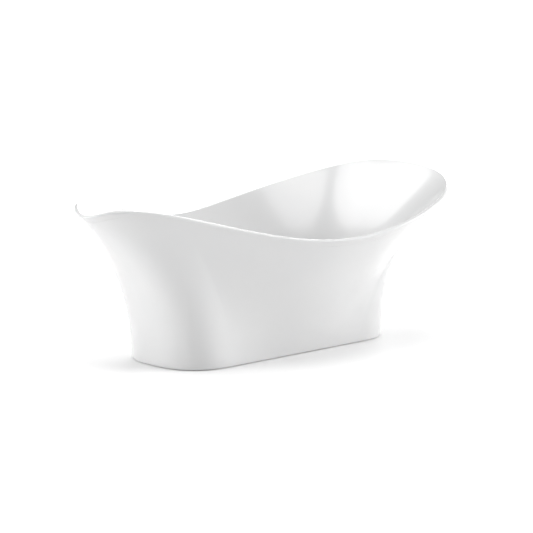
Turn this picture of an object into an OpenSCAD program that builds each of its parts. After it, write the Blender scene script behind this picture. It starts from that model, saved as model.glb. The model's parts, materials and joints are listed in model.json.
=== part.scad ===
// Freestanding slipper bath. A double-skinned acrylic tub with a swooping rim,
// bonded and screwed to a steel frame on four levelling feet, with a
// press-to-open waste and an overflow piped to it between the two skins.
// Frame of the model: origin on the floor under the middle of the rim's length,
// +X to the tall end, +Y across, +Z up. Millimetres and degrees.

/* [Rim plan] */
// Length over the two rim ends
overall_l = 1650; // [1500:10:1800]
// Half-width of the rim at mid-length, before the egg shape
rim_half_w = 437; // [400:1:470]
// Half-width moved from the foot end to the tall end
rim_egg = 71; // [40:1:80]
// Pinch of the rim's quarter points
rim_pinch = -11; // [-20:1:0]
// Shift of the rim's widest part along the length
rim_shift = -46; // [-60:1:0]
// Third-order squareness of the rim's ends
rim_square_3 = -8; // [-15:1:5]
// Fifth-order squareness of the rim's ends
rim_square_5 = -21; // [-25:1:-5]

/* [Rim height] */
// Mean height of the rim's outer edge
rim_mean_h = 551; // [500:1:640]
// Height of the tall end over the foot end, halved
rim_tilt = -2; // [-10:1:20]
// Rise of both ends over the middle
rim_sweep = 78; // [40:1:90]
// Extra rise of the tall end's tip
rim_tall_tip = 10; // [0:1:20]
// Flattening at the ends and the middle
rim_flatten = -21; // [-30:1:0]
// Fifth-order wave of the rim's height
rim_wave_5 = 10; // [0:1:14]
// Sixth-order wave of the rim's height
rim_wave_6 = -3; // [-6:1:0]

/* [Base plan] */
// Length of the skirt's foot
base_l = 1082; // [1000:2:1140]
// Width of the skirt's foot
base_w = 440; // [420:2:500]
// Depth of each rounded end of the foot
base_end = 208; // [150:2:240]
// Roundness of those ends, 2 for an ellipse
base_power = 2.6; // [2:0.1:3]
// Offset of the foot towards the tall end
base_shift = 34; // [0:2:60]
// Gap between the skirt's lower edge and the floor
skirt_clear = 3; // [2:1:8]

/* [Flare] */
// Flare exponent of the skirt at its ends
flare_end = 2.6; // [2:0.05:3]
// Flare exponent of the skirt at its sides
flare_side = 1.35; // [1.2:0.05:2.2]
// Extra flare exponent at the tall end, taken from the foot end
flare_lean = 0.2; // [0:0.05:0.4]
// Straight share of the flare
flare_straight = 0.14; // [0.05:0.01:0.3]

/* [Shells] */
// Thickness of the rounded rim
rim_t = 16; // [14:0.5:20]
// Depth of the rim's outer lip, down to the seam with the skirt
lip_h = 14; // [10:1:24]
// Wall of the basin, acrylic and its glass-fibre backing
basin_t = 6; // [4:0.5:7]
// Wall of the skirt
skirt_t = 5; // [4:0.5:6]
// Bevel inside the skirt's upper edge, which holds the adhesive
glue_bevel = 3; // [2:0.5:5]
// Width of the skirt's turned-in foot
skirt_return_w = 15; // [10:1:20]
// Adhesive line between bonded pieces
bond_gap = 0.3; // [0.2:0.1:1]

/* [Well] */
// Gap between the well and the skirt's foot, at each end
well_gap_end = 76; // [70:1:100]
// Gap between the well and the skirt's foot, at each side
well_gap_side = 36; // [32:1:50]
// Offset of the well over the foot, towards the tall end
well_lean = 1; // [0:1:10]
// Roundness of the well's plan, 2 for an ellipse
well_power = 2.6; // [2:0.1:2.8]
// Radius between the floor and the walls
well_fillet = 70; // [50:2:80]
// Flare exponent of the well at its ends
well_flare_end = 2.1; // [1.9:0.05:2.4]
// Flare exponent of the well at its sides
well_flare_side = 1.35; // [1.2:0.05:1.6]
// Straight share of the well's flare
well_straight = 0.2; // [0.1:0.02:0.3]

/* [Waste] */
// Distance from the well's foot end to the waste
waste_inset = 160; // [150:2:200]
// Radius of the hole in the bathing floor
waste_hole_r = 26; // [24:0.5:30]
// Lap of the waste flange over the edge of that hole
flange_lap = 12; // [10:0.5:14]
// Height of the flange above its seal
flange_t = 3; // [2.5:0.5:4]
// Wall of the flange's tail
tail_wall = 5.5; // [4.5:0.5:6]
// Width of the seat that the plug's seal closes on
seat_w = 4.5; // [3.5:0.1:5]
// Lap of the plug's cap past its seal
plug_lap = 7.5; // [5:0.5:9]
// Lift of the plug from closed to open
plug_lift = 10; // [6:0.5:11]
// Outside radius of the outlet pipe
outlet_r = 20; // [16:0.5:21]
// Wall of the outlet pipe
outlet_wall = 2.5; // [2:0.5:3]

/* [Overflow] */
// Drop from the lowest point of the rim to the overflow's centre
overflow_drop = 72; // [60:1:90]
// Radius of the overflow's hole
overflow_hole_r = 18; // [14:0.5:20]
// Lap of the overflow's cover past its hole
cover_lap = 14; // [12:0.5:16]
// Stand-off of the cover from the wall
cover_h = 10; // [8:0.5:14]
// Radius of the pipe spigots that the overflow hose slides over
spigot_r = 11; // [9:0.5:12]
// Wall of the hose
hose_wall = 2.6; // [2:0.1:3]

/* [Frame] */
// Gap between the waste and the floor board
board_gap = 20; // [15:1:40]
// Flat floor left past the tall end of the floor board
board_margin = 51; // [20:1:90]
// Flat floor left on each side of the floor board
board_edge = 14; // [8:1:24]
// Thickness of the floor board
board_t = 16; // [12:1:18]
// Side of the square steel tube
tube_w = 25; // [20:1:26]
// Wall of the square steel tube
tube_wall = 2; // [1.5:0.5:3]
// Distance from the board's side to the middle of a rail
rail_inset = 30; // [25:1:40]
// Distance from the rails' ends to the middle of a crossbar
crossbar_end = 70; // [50:5:100]
// Gap between a crossbar's end and the skirt's foot
crossbar_gap = 55; // [50:1:60]
// Height of the crossbars above the floor
crossbar_z = 37.7; // [34:0.1:60]

/* [Feet] */
// Distance from a crossbar's end to the middle of its foot
foot_inset = 37; // [33:1:50]
// Radius of a foot's pad
pad_r = 24; // [18:1:28]
// Height of a foot's pad
pad_h = 12; // [10:1:14]
// Radius of a foot's threaded stud
stud_r = 6; // [5:0.5:6]
// Height of a nut on the stud
nut_h = 10; // [8:1:10]
// Radial clearance of a shaft that turns or slides in its bore
running_gap = 0.05; // [0.02:0.01:0.1]

/* [Hidden] */
$fn = 64;

// Facets round each shell and along its profile
around = 72;
fillet_steps = 6;
wall_steps = 10;
roll_steps = 7;
skirt_steps = 12;
step = 360 / around;
eps = 0.01;

// Sizes that stack up from the floor or fit inside the skirt's foot
board_top = crossbar_z + 2 * tube_w + board_t;
floor_under = board_top + bond_gap;
floor_z = floor_under + basin_t;
well_l = base_l - 2 * well_gap_end;
well_w = base_w - 2 * well_gap_side;
well_shift = base_shift + well_lean;

acrylic = "white";
steel = "silver";
zinc = "lightgray";
chrome = "gainsboro";
rubber = "dimgray";
plastic = "whitesmoke";
timber = "burlywood";

// ---- Curves of the shells -------------------------------------------------

function unit(v) = v / norm(v);
function signed_pow(v, e) = sign(v) * pow(abs(v), e);

// How far the rounded rim bulges past its outer edge at the two ends
rim_bulge = rim_t / 6;

// Rim's outer edge seen from above, at parameter a, anticlockwise from +X
function rim_xy(a) = [
    (overall_l / 2 - rim_bulge - rim_square_3 - rim_square_5) * cos(a)
        + rim_square_3 * cos(3 * a) + rim_square_5 * cos(5 * a)
        + rim_shift * (cos(2 * a) - 1),
    rim_half_w * sin(a) + rim_egg * sin(2 * a) + rim_pinch * sin(3 * a)
];

// Height of the rim's outer edge
function rim_h(a) = rim_mean_h + rim_tilt * cos(a) + rim_sweep * cos(2 * a)
    + rim_tall_tip * cos(3 * a) + rim_flatten * cos(4 * a)
    + rim_wave_5 * cos(5 * a) + rim_wave_6 * cos(6 * a);

// Foot of the skirt: straight sides with rounded ends. The ends take the
// parameter up to corner_a and the straight sides take the rest.
corner_a = 45;
function fold(a) = let (m = abs(a) % 180) min(m, 180 - m);
function foot_quarter(q) = let (
        p = min(q / corner_a, 1) * 90,
        straight = base_l / 2 - base_end,
        x = q < corner_a ? straight + base_end * pow(cos(p), 2 / base_power)
            : straight * (90 - q) / (90 - corner_a),
        y = q < corner_a ? base_w / 2 * pow(sin(p), 2 / base_power) : base_w / 2
    ) [x, y];
function foot_xy(a) = let (q = foot_quarter(fold(a)))
    [base_shift + q.x * (cos(a) < 0 ? -1 : 1), q.y * (sin(a) < 0 ? -1 : 1)];

// Plan of the well at floor level, before its fillet
function well_xy(a) = [
    well_shift + well_l / 2 * signed_pow(cos(a), 2 / well_power),
    well_w / 2 * signed_pow(sin(a), 2 / well_power)
];
function well_normal(a) = unit([
    signed_pow(cos(a), 2 - 2 / well_power) / well_l,
    signed_pow(sin(a), 2 - 2 / well_power) / well_w
]);

function flare(t, p, k) = (1 - k) * pow(t, p) + k * t;
function skirt_power(a) = flare_side + (flare_end - flare_side) * pow(cos(a), 2)
    + flare_lean * cos(a);
function well_power_at(a) = well_flare_side
    + (well_flare_end - well_flare_side) * pow(cos(a), 2);

// Outer face of the bath at height z, up to the rim's edge
function outer_at(z, a) = let (
        f = flare(max(z, 0) / rim_h(a), skirt_power(a), flare_straight),
        p = foot_xy(a) + (rim_xy(a) - foot_xy(a)) * f
    ) [p.x, p.y, z];

// Directions on the outer face: along it, up it, and out of it
function outer_around(z, a) = unit(outer_at(z, a + 1) - outer_at(z, a - 1));
function outer_up(a) = unit(outer_at(rim_h(a), a) - outer_at(rim_h(a) - 2, a));
function outer_normal(z, a) =
    unit(cross(outer_around(z, a), outer_at(z + 1, a) - outer_at(z - 1, a)));

// The rim's inner edge, straight across the plate from its outer edge
function edge_point(a) = outer_at(rim_h(a), a);
function edge_normal(a) = let (
        along = unit(edge_point(a + 1) - edge_point(a - 1))
    ) unit(cross(along, outer_up(a)));
function inner_edge(a) = edge_point(a) - rim_t * edge_normal(a);

// Bathing face: a fillet up from the floor, then the wall to the inner edge
function wall_at(z, a) = let (
        e = inner_edge(a),
        t = (z - floor_z) / (e.z - floor_z),
        f = flare(t, well_power_at(a), well_straight),
        p = well_xy(a) + ([e.x, e.y] - well_xy(a)) * f
    ) [p.x, p.y, z];
function fillet_at(phi, a) = let (
        z = floor_z + well_fillet * (1 - cos(phi)),
        p = wall_at(z, a),
        n = well_normal(a),
        inset = well_fillet * (1 - sin(phi))
    ) [p.x - n.x * inset, p.y - n.y * inset, z];
function shoulder_z(a) = inner_edge(a).z - lip_h;
function bath_ring(k, a) = k <= fillet_steps
    ? fillet_at(90 * k / fillet_steps, a)
    : let (
        z0 = floor_z + well_fillet,
        s = (k - fillet_steps) / wall_steps
    ) wall_at(z0 + (shoulder_z(a) - z0) * s, a);
bath_rings = fillet_steps + wall_steps;

// Back of the basin's wall, one wall thickness behind the bathing face
function bath_back(k, a) = let (
        p = bath_ring(k, a),
        along = bath_ring(k, a + 1) - bath_ring(k, a - 1),
        up = bath_ring(min(k + 1, bath_rings), a) - bath_ring(max(k - 1, 0), a),
        n = k == 0 ? [0, 0, -1] : unit(cross(along, up))
    ) p + basin_t * n;

// The rounded rim: a half circle across the plate
function roll_at(k, a) = let (
        phi = 180 * (1 - k / roll_steps),
        r = rim_t / 2,
        c = edge_point(a) - r * edge_normal(a)
    ) c + r * (cos(phi) * edge_normal(a) + sin(phi) * outer_up(a));

// Angle at which the outer face passes lengthwise position x at height z
function angle_at(x, z, low = 0, high = 180, n = 24) = let (mid = (low + high) / 2)
    n == 0 ? mid : outer_at(z, mid).x > x ? angle_at(x, z, mid, high, n - 1)
    : angle_at(x, z, low, mid, n - 1);
function skirt_inside_y(x, z) =
    outer_at(z, angle_at(x, z)).y - skirt_t / cos(45) ;

// ---- Places taken from the curves -----------------------------------------

waste_x = well_shift - well_l / 2 + waste_inset;

rim_low = min([for (a = [0:step:359]) rim_h(a)]);
overflow_z = rim_low - overflow_drop;
overflow_p = wall_at(overflow_z, 180);
overflow_run = wall_at(overflow_z + 1, 180) - wall_at(overflow_z - 1, 180);
overflow_tilt = atan2(overflow_run.z, -overflow_run.x);

// ---- Sizes that follow other sizes ----------------------------------------

// Waste, as heights from the bathing floor
flange_r = waste_hole_r + flange_lap;
seal_t = 1;
washer_t = 3;
flange_top = seal_t + flange_t;
seat_z = flange_top - 2.8;
seat_gap = 0.3;
tail_r = waste_hole_r - 1.5;
throat_r = tail_r - tail_wall;
seat_r = throat_r + seat_w;
plug_r = seat_r + plug_lap;
tail_end = -40;
thread_gap = 0.2;
hub_r = 8;
hub_top = -18;
hub_low = -33;
spider_t = 3;
spider_h = 8;
stem_r = 4;
stem_end = hub_low - plug_lift - seat_gap - 2;
clip_r = 6;
clip_t = 2;
body_wall = 4;
body_r = tail_r + thread_gap + body_wall;
body_top = -basin_t - washer_t;
body_flange_t = 4;
body_low = tail_end - spigot_r * 2;
inlet_z = tail_end - spigot_r;
outlet_top_r = outlet_r - 1.2;
socket_r = outlet_top_r + 0.3;
socket_wall = 4;
socket_low = body_low - 16;
spigot_wall = 2.5;
inlet_l = 28;
nut_wall = 5.5;
outlet_end = 6 - floor_z;
outlet_nut_h = 12;
outlet_nut_top = socket_low + 8;
outlet_nut_low = outlet_nut_top - outlet_nut_h;
outlet_lip = 2.5;

// Overflow, in its own frame: +Z into the bath, +X down the wall
hose_grip = 20;
cover_r = overflow_hole_r + cover_lap;
overflow_seat_r = cover_r + 2;
boss_t = 3;
gasket_t = 2.5;
overflow_back = -basin_t - boss_t - gasket_t;
elbow_flange_t = 3;
elbow_wall = 3;
elbow_r = overflow_hole_r + elbow_wall;
elbow_depth = elbow_wall + 2 * spigot_r + 2;
elbow_low = overflow_back - elbow_depth;
spigot_axis = elbow_low + elbow_wall + spigot_r;
spigot_out = overflow_seat_r + 2 + hose_grip - elbow_r;
cover_plate_t = 2.5;
cover_wall = 2.5;
cover_rib_h = 4;
cover_slot_w = 1.5 * cover_r;
screw_head_r = 5;
screw_head_h = 2;
screw_bite = 3;
cover_gap = 0.3;
screw_r = 2.4;
screw_hole_r = 2.7;
post_r = 6;

// Hose
hose_in_r = spigot_r + 0.5;
hose_r = hose_in_r + hose_wall;
hose_sides = 16;
hose_steps = 22;
hose_pull_top = 110;
hose_pull_low = 170;
clip_band_w = 9;
clip_band_t = 1;

// Frame
board_under = board_top - board_t;
rail_z = board_under - tube_w;
board_start = waste_x + body_r + board_gap;
flat_end = well_shift + well_l / 2 - well_fillet;
board_l = flat_end - board_margin - board_start;
board_w = well_w - 2 * well_fillet - 2 * board_edge;
frame_x = board_start + board_l / 2;
rail_gap = board_w - 2 * rail_inset;
crossbar_l = base_w - 2 * crossbar_gap;
foot_gap = crossbar_l - 2 * foot_inset;
board_round = 0.4 * board_w;
crossbar_reach = board_l / 2 - crossbar_end;
crossbar_xs = [frame_x - crossbar_reach, frame_x + crossbar_reach];
sides = [-1, 1];
bolt_r = 3;
bolt_hole_r = 3.3;
bolt_head_h = 4;
bolt_head_r = 5.8;
board_screw_r = 2.2;
board_screw_head_r = 4.5;
board_screw_head_h = 3;
board_screw_bite = board_t - 5;
access_r = 6;
pilot_gap = 0.1;
screw_xs = [for (i = [-1:1]) frame_x + i * (board_l / 2 - 40)];

// Brackets between the frame and the skirt
bracket_t = 3;
bracket_w = 40;
bracket_foot = 22;
bracket_rise = 40;
block_w = 50;
block_h = 30;
block_gap = 0.5;

// Feet
foot_spots = [for (x = crossbar_xs) for (s = sides) [x, s * foot_gap / 2]];
stud_hole_r = stud_r + 1;
nut_r = 1.83 * stud_r;
nut_top = crossbar_z;
lock_top = nut_top - nut_h;
stud_low = 3.3;
stud_top = rail_z + 12;
pad_neck_r = stud_r + 7;

// ---- Shared modules --------------------------------------------------------

// Solid skin through rings of points, closed by caps or joined end to end
module skin(rings, joined) {
    n = len(rings[0]);
    m = len(rings);
    last = joined ? m - 1 : m - 2;
    walls = [
        for (r = [0:last]) for (j = [0:n - 1]) let (
            a = r * n + j,
            b = r * n + (j + 1) % n,
            c = ((r + 1) % m) * n + (j + 1) % n,
            d = ((r + 1) % m) * n + j
        ) each [[a, b, c], [a, c, d]]
    ];
    caps = joined ? [] : [
        [for (j = [n - 1:-1:0]) j],
        [for (j = [0:n - 1]) (m - 1) * n + j]
    ];
    polyhedron(points = [for (ring = rings) each ring], faces = concat(walls, caps));
}

// Square tube along an axis, centred on it
module square_tube(length) {
    difference() {
        cube([length, tube_w, tube_w], center = true);
        cube([length + 1, tube_w - 2 * tube_wall, tube_w - 2 * tube_wall], center = true);
    }
}

// Ring or disc between two heights
module ring(r_out, r_in, low, high) {
    difference() {
        translate([0, 0, low]) cylinder(r = r_out, h = high - low);
        translate([0, 0, low - 1]) cylinder(r = r_in, h = high - low + 2);
    }
}

// Plate with round corners
module round_plate(length, width, round, thick) {
    linear_extrude(thick) union() {
        square([length - 2 * round, width], center = true);
        square([length, width - 2 * round], center = true);
        for (x = sides) for (y = sides)
            translate([x * (length / 2 - round), y * (width / 2 - round)]) circle(round);
    }
}

module at_overflow() {
    translate(overflow_p) rotate([0, overflow_tilt, 0]) children();
}

module at_waste() {
    translate([waste_x, 0, floor_z]) children();
}

module at_feet() {
    for (p = foot_spots) translate([p.x, p.y, 0]) children();
}

// Copies at the four crossbar ends, with +Y pointing out of the bath
module at_crossbar_ends() {
    for (x = crossbar_xs) for (s = sides)
        translate([x, 0, 0]) mirror([0, s < 0 ? 1 : 0, 0])
            translate([0, crossbar_l / 2, 0]) children();
}

// ---- Shells ----------------------------------------------------------------

function ring_of(f) = [for (j = [0:around - 1]) f(j * step)];

module basin_shell() {
    front = [for (k = [0:bath_rings]) ring_of(function (a) bath_ring(k, a))];
    roll = [for (k = [0:roll_steps]) ring_of(function (a) roll_at(k, a))];
    lip = [ring_of(function (a) outer_at(rim_h(a) - lip_h, a))];
    back = [for (k = [bath_rings:-1:0]) ring_of(function (a) bath_back(k, a))];
    skin(concat(front, roll, lip, back), false);
}

module basin() color(acrylic) difference() {
    union() {
        basin_shell();
        at_overflow() translate([0, 0, -basin_t - boss_t])
            cylinder(r = overflow_seat_r, h = basin_t + 2 * boss_t);
    }
    at_overflow() cylinder(r = overflow_seat_r + 1, h = 20);
    at_overflow() translate([0, 0, -30]) cylinder(r = overflow_hole_r, h = 40);
    at_waste() translate([0, 0, -20]) cylinder(r = waste_hole_r, h = 40);
}

module skirt() {
    top = function (a) rim_h(a) - lip_h - bond_gap;
    height = function (k, a) skirt_clear + (top(a) - skirt_clear) * k / skirt_steps;
    inward = function (z, a, t) outer_at(z, a) - t * outer_normal(z, a);
    foot_in = function (z, a, t) let (n = outer_normal(z, a), u = unit([n.x, n.y]))
        outer_at(z, a) - t * [u.x, u.y, 0];
    inside_z = function (k, a) height(k, a) - (k == skirt_steps ? glue_bevel : 0);
    inside = [for (k = [1:skirt_steps])
        ring_of(function (a) inward(inside_z(k, a), a, skirt_t))];
    outside = [for (k = [skirt_steps:-1:0])
        ring_of(function (a) outer_at(height(k, a), a))];
    inner_foot = skirt_t + skirt_return_w;
    turned = [
        ring_of(function (a) foot_in(skirt_clear, a, inner_foot)),
        ring_of(function (a) foot_in(skirt_clear + skirt_t, a, inner_foot)),
        ring_of(function (a) foot_in(skirt_clear + skirt_t, a, skirt_t))
    ];
    color(acrylic) skin(concat(inside, outside, turned), true);
}

// ---- Frame -----------------------------------------------------------------

module floor_board() color(timber) difference() {
    translate([frame_x, 0, board_under])
        round_plate(board_l, board_w, board_round, board_t);
    for (x = screw_xs) for (s = sides)
        translate([x, s * rail_gap / 2, board_under - 1])
            cylinder(r = board_screw_r + pilot_gap, h = board_screw_bite + 1.5);
}

module frame_rails() color(steel) for (s = sides) difference() {
    translate([frame_x, s * rail_gap / 2, rail_z + tube_w / 2]) square_tube(board_l);
    for (x = screw_xs) translate([x, s * rail_gap / 2, rail_z - 1]) {
        cylinder(r = access_r, h = tube_w / 2);
        cylinder(r = board_screw_r + pilot_gap, h = tube_w + 2);
    }
    for (x = crossbar_xs) translate([x, s * rail_gap / 2, rail_z - 1])
        cylinder(r = bolt_hole_r, h = tube_w / 2);
}

module frame_crossbars() color(steel) for (x = crossbar_xs) difference() {
    translate([x, 0, crossbar_z + tube_w / 2]) rotate([0, 0, 90]) square_tube(crossbar_l);
    for (s = sides) {
        translate([x, s * rail_gap / 2, crossbar_z - 1])
            cylinder(r = bolt_hole_r, h = tube_w + 2);
        translate([x, s * foot_gap / 2, crossbar_z - 1])
            cylinder(r = stud_hole_r, h = tube_w + 2);
        translate([x, s * (crossbar_l - bracket_foot) / 2, crossbar_z + tube_w / 2])
            cylinder(r = board_screw_r + pilot_gap, h = tube_w);
    }
}

module frame_bolts() color(zinc) for (x = crossbar_xs) for (s = sides)
    translate([x, s * rail_gap / 2, crossbar_z - bolt_head_h]) {
        cylinder(r = bolt_head_r, h = bolt_head_h, $fn = 6);
        cylinder(r = bolt_r, h = bolt_head_h + tube_w + tube_wall + 6);
        translate([0, 0, bolt_head_h + tube_w + tube_wall])
            cylinder(r = bolt_head_r, h = 5, $fn = 6);
    }

module board_screws() color(zinc) for (x = screw_xs) for (s = sides)
    translate([x, s * rail_gap / 2, board_under - tube_wall]) {
        translate([0, 0, -board_screw_head_h])
            cylinder(r = board_screw_head_r, h = board_screw_head_h);
        cylinder(r = board_screw_r, h = tube_wall + board_screw_bite);
    }

// ---- Brackets to the skirt -------------------------------------------------

module skirt_brackets() color(steel) at_crossbar_ends() difference() {
    union() {
        translate([-bracket_w / 2, -bracket_foot, rail_z])
            cube([bracket_w, bracket_foot, bracket_t]);
        translate([-bracket_w / 2, 0, rail_z])
            cube([bracket_w, bracket_t, bracket_rise]);
    }
    translate([0, -bracket_foot / 2, rail_z - 1])
        cylinder(r = board_screw_r + pilot_gap, h = bracket_t + 2);
    translate([0, -1, rail_z + bracket_rise - block_h / 2]) rotate([-90, 0, 0])
        cylinder(r = board_screw_r + pilot_gap, h = bracket_t + 2);
}

block_low = rail_z + bracket_rise - block_h;
block_start = crossbar_l / 2 + bracket_t;
function block_end(x) =
    min([for (e = sides) skirt_inside_y(x + e * block_w / 2, block_low)]) - block_gap;

module skirt_blocks() color(timber) for (x = crossbar_xs) for (s = sides)
    translate([x, 0, 0]) mirror([0, s < 0 ? 1 : 0, 0]) difference() {
        translate([-block_w / 2, block_start, block_low])
            cube([block_w, block_end(x) - block_start, block_h]);
        translate([0, block_start - 1, block_low + block_h / 2]) rotate([-90, 0, 0])
            cylinder(r = board_screw_r + pilot_gap, h = bracket_foot + 1);
    }

module bracket_screw(length) {
    translate([0, 0, -board_screw_head_h])
        cylinder(r = board_screw_head_r, h = board_screw_head_h);
    cylinder(r = board_screw_r, h = length);
}

module bracket_screws() color(zinc) at_crossbar_ends() {
    translate([0, -bracket_foot / 2, rail_z + bracket_t]) rotate([180, 0, 0])
        bracket_screw(bracket_t + tube_wall + 5);
    translate([0, 0, block_low + block_h / 2]) rotate([-90, 0, 0])
        bracket_screw(bracket_t + bracket_foot - 2);
}

// ---- Feet ------------------------------------------------------------------

module nut(low) {
    difference() {
        translate([0, 0, low]) cylinder(r = nut_r, h = nut_h, $fn = 6);
        translate([0, 0, low - 1]) cylinder(r = stud_r + running_gap, h = nut_h + 2);
    }
}

module weld_nuts() color(steel) at_feet() nut(nut_top - nut_h);
module lock_nuts() color(zinc) at_feet() nut(lock_top - nut_h);

module foot_pad(i) color(rubber) translate([foot_spots[i].x, foot_spots[i].y, 0])
    rotate_extrude() polygon([
        [0, 0], [pad_r - 1, 0], [pad_r, 1], [pad_r, 4], [pad_neck_r, pad_h - 1],
        [pad_neck_r - 1, pad_h], [stud_r + running_gap, pad_h],
        [stud_r + running_gap, stud_low - 0.3], [0, stud_low - 0.3]
    ]);

module foot_stud(i) color(zinc) translate([foot_spots[i].x, foot_spots[i].y, 0])
    translate([0, 0, stud_low]) cylinder(r = stud_r, h = stud_top - stud_low);

module foot_pad_1() foot_pad(0);
module foot_pad_2() foot_pad(1);
module foot_pad_3() foot_pad(2);
module foot_pad_4() foot_pad(3);
module foot_stud_1() foot_stud(0);
module foot_stud_2() foot_stud(1);
module foot_stud_3() foot_stud(2);
module foot_stud_4() foot_stud(3);

// ---- Waste -----------------------------------------------------------------

module waste_flange() color(chrome) at_waste() {
    rotate_extrude() polygon([
        [seat_r + 0.5, flange_top], [flange_r - 4, flange_top],
        [flange_r, seal_t + 1], [flange_r, seal_t], [tail_r, seal_t],
        [tail_r, tail_end], [throat_r, tail_end], [throat_r, seat_z],
        [seat_r + 0.5, seat_z]
    ]);
    difference() {
        union() {
            translate([0, 0, hub_low]) cylinder(r = hub_r, h = hub_top - hub_low);
            translate([0, 0, hub_low + 3]) linear_extrude(spider_h) union() {
                for (a = [45, 135]) rotate([0, 0, a])
                    square([throat_r + tail_r, spider_t], center = true);
            }
        }
        translate([0, 0, hub_low - 1])
            cylinder(r = stem_r + running_gap, h = hub_top - hub_low + 2);
    }
}

module flange_seal() color(rubber) at_waste() ring(flange_r - 2, waste_hole_r, 0, seal_t);

module waste_washer() color(rubber) at_waste()
    ring(body_r + 8, waste_hole_r, body_top, -basin_t);

module waste_body() color(plastic) at_waste() difference() {
    union() {
        translate([0, 0, body_top - body_flange_t])
            cylinder(r = body_r + 8, h = body_flange_t);
        translate([0, 0, body_low]) cylinder(r = body_r, h = body_top - body_low);
        translate([0, 0, socket_low])
            cylinder(r = socket_r + socket_wall, h = body_low - socket_low + 1);
        translate([0, 0, inlet_z]) rotate([0, -90, 0])
            cylinder(r = spigot_r, h = body_r + inlet_l);
    }
    translate([0, 0, body_low + body_wall])
        cylinder(r = tail_r + thread_gap, h = body_top - body_low);
    translate([0, 0, socket_low - 1])
        cylinder(r = socket_r, h = body_low - socket_low + 1);
    translate([0, 0, body_low - 1]) cylinder(r = outlet_r - outlet_wall, h = 20);
    translate([0, 0, inlet_z]) rotate([0, -90, 0])
        cylinder(r = spigot_r - spigot_wall, h = body_r + inlet_l + 1);
}

module outlet_pipe() color(plastic) at_waste() {
    ring(outlet_r, outlet_r - outlet_wall, outlet_end, outlet_nut_low - 1);
    ring(outlet_top_r, outlet_r - outlet_wall, outlet_nut_low - 1, body_low - 0.5);
}

module outlet_nut() color(plastic) at_waste() difference() {
    translate([0, 0, outlet_nut_low])
        cylinder(r = socket_r + socket_wall + nut_wall, h = outlet_nut_h);
    translate([0, 0, outlet_nut_low + outlet_lip])
        cylinder(r = socket_r + socket_wall + thread_gap, h = outlet_nut_h);
    translate([0, 0, outlet_nut_low - 1]) cylinder(r = socket_r, h = outlet_nut_h);
}

module outlet_seal() color(rubber) at_waste()
    ring(socket_r + socket_wall, outlet_top_r, outlet_nut_low + outlet_lip, socket_low);

// ---- Plug ------------------------------------------------------------------

cap_low = flange_top + seat_gap;
module plug_cap() color(chrome) at_waste() rotate_extrude() polygon([
    [0, cap_low], [plug_r - 1, cap_low], [plug_r, cap_low + 1],
    [plug_r - 1, cap_low + 2.5], [plug_r - 8, cap_low + 4], [0, cap_low + 5]
]);

module plug_seal() color(rubber) at_waste()
    ring(seat_r, throat_r - 2, seat_z + seat_gap, cap_low);

module plug_stem() color(chrome) at_waste() {
    translate([0, 0, stem_end]) cylinder(r = stem_r, h = cap_low - stem_end);
    translate([0, 0, stem_end]) cylinder(r = clip_r, h = clip_t);
}

// ---- Overflow --------------------------------------------------------------

module overflow_cover() color(chrome) at_overflow() difference() {
    union() {
        translate([0, 0, cover_h]) cylinder(r = cover_r, h = cover_plate_t);
        ring(cover_r, cover_r - cover_wall, cover_gap, cover_h + eps);
        for (a = [90, 180, 270]) rotate([0, 0, a])
            translate([0, -cover_wall / 2, cover_h - cover_rib_h])
                cube([cover_r - 1, cover_wall, cover_rib_h]);
        translate([0, 0, cover_gap]) cylinder(r = post_r, h = cover_h);
    }
    translate([post_r + 1, -cover_slot_w / 2, 0])
        cube([cover_r, cover_slot_w, cover_h]);
    translate([0, 0, -1]) cylinder(r = screw_hole_r, h = cover_h + cover_plate_t + 2);
}

module overflow_screw() color(chrome) at_overflow() {
    head = cover_h + cover_plate_t;
    end = elbow_low + elbow_wall + screw_bite;
    translate([0, 0, head]) cylinder(r = screw_head_r, h = screw_head_h);
    translate([0, 0, end]) cylinder(r = screw_r, h = head - end + eps);
}

module overflow_gasket() color(rubber) at_overflow()
    ring(overflow_seat_r - 2, overflow_hole_r, overflow_back, -basin_t - boss_t);

module overflow_elbow() color(plastic) at_overflow() difference() {
    union() {
        difference() {
            union() {
                translate([0, 0, overflow_back - elbow_flange_t])
                    cylinder(r = overflow_seat_r - 2, h = elbow_flange_t);
                translate([0, 0, elbow_low]) cylinder(r = elbow_r, h = elbow_depth);
                translate([0, 0, spigot_axis]) rotate([0, 90, 0])
                    cylinder(r = spigot_r, h = elbow_r + spigot_out);
            }
            translate([0, 0, elbow_low + elbow_wall])
                cylinder(r = overflow_hole_r, h = elbow_depth);
            translate([0, 0, spigot_axis]) rotate([0, 90, 0])
                cylinder(r = spigot_r - spigot_wall, h = elbow_r + spigot_out + 1);
        }
        translate([0, 0, elbow_low + 1]) cylinder(r = post_r - 1, h = 16);
    }
    translate([0, 0, elbow_low + elbow_wall]) cylinder(r = screw_r + pilot_gap, h = 60);
}

// ---- Hose ------------------------------------------------------------------

function overflow_world(v) = overflow_p
    + [v.x * cos(overflow_tilt) + v.z * sin(overflow_tilt), v.y,
       v.z * cos(overflow_tilt) - v.x * sin(overflow_tilt)];
hose_top_dir = [cos(overflow_tilt), 0, -sin(overflow_tilt)];
hose_top = overflow_world([elbow_r + spigot_out, 0, spigot_axis]);
hose_low = [waste_x - body_r - inlet_l, 0, floor_z + inlet_z];
hose_low_dir = [1, 0, 0];
hose_knots = [
    hose_top, hose_top + hose_pull_top * hose_top_dir,
    hose_low - hose_pull_low * hose_low_dir, hose_low
];

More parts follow.
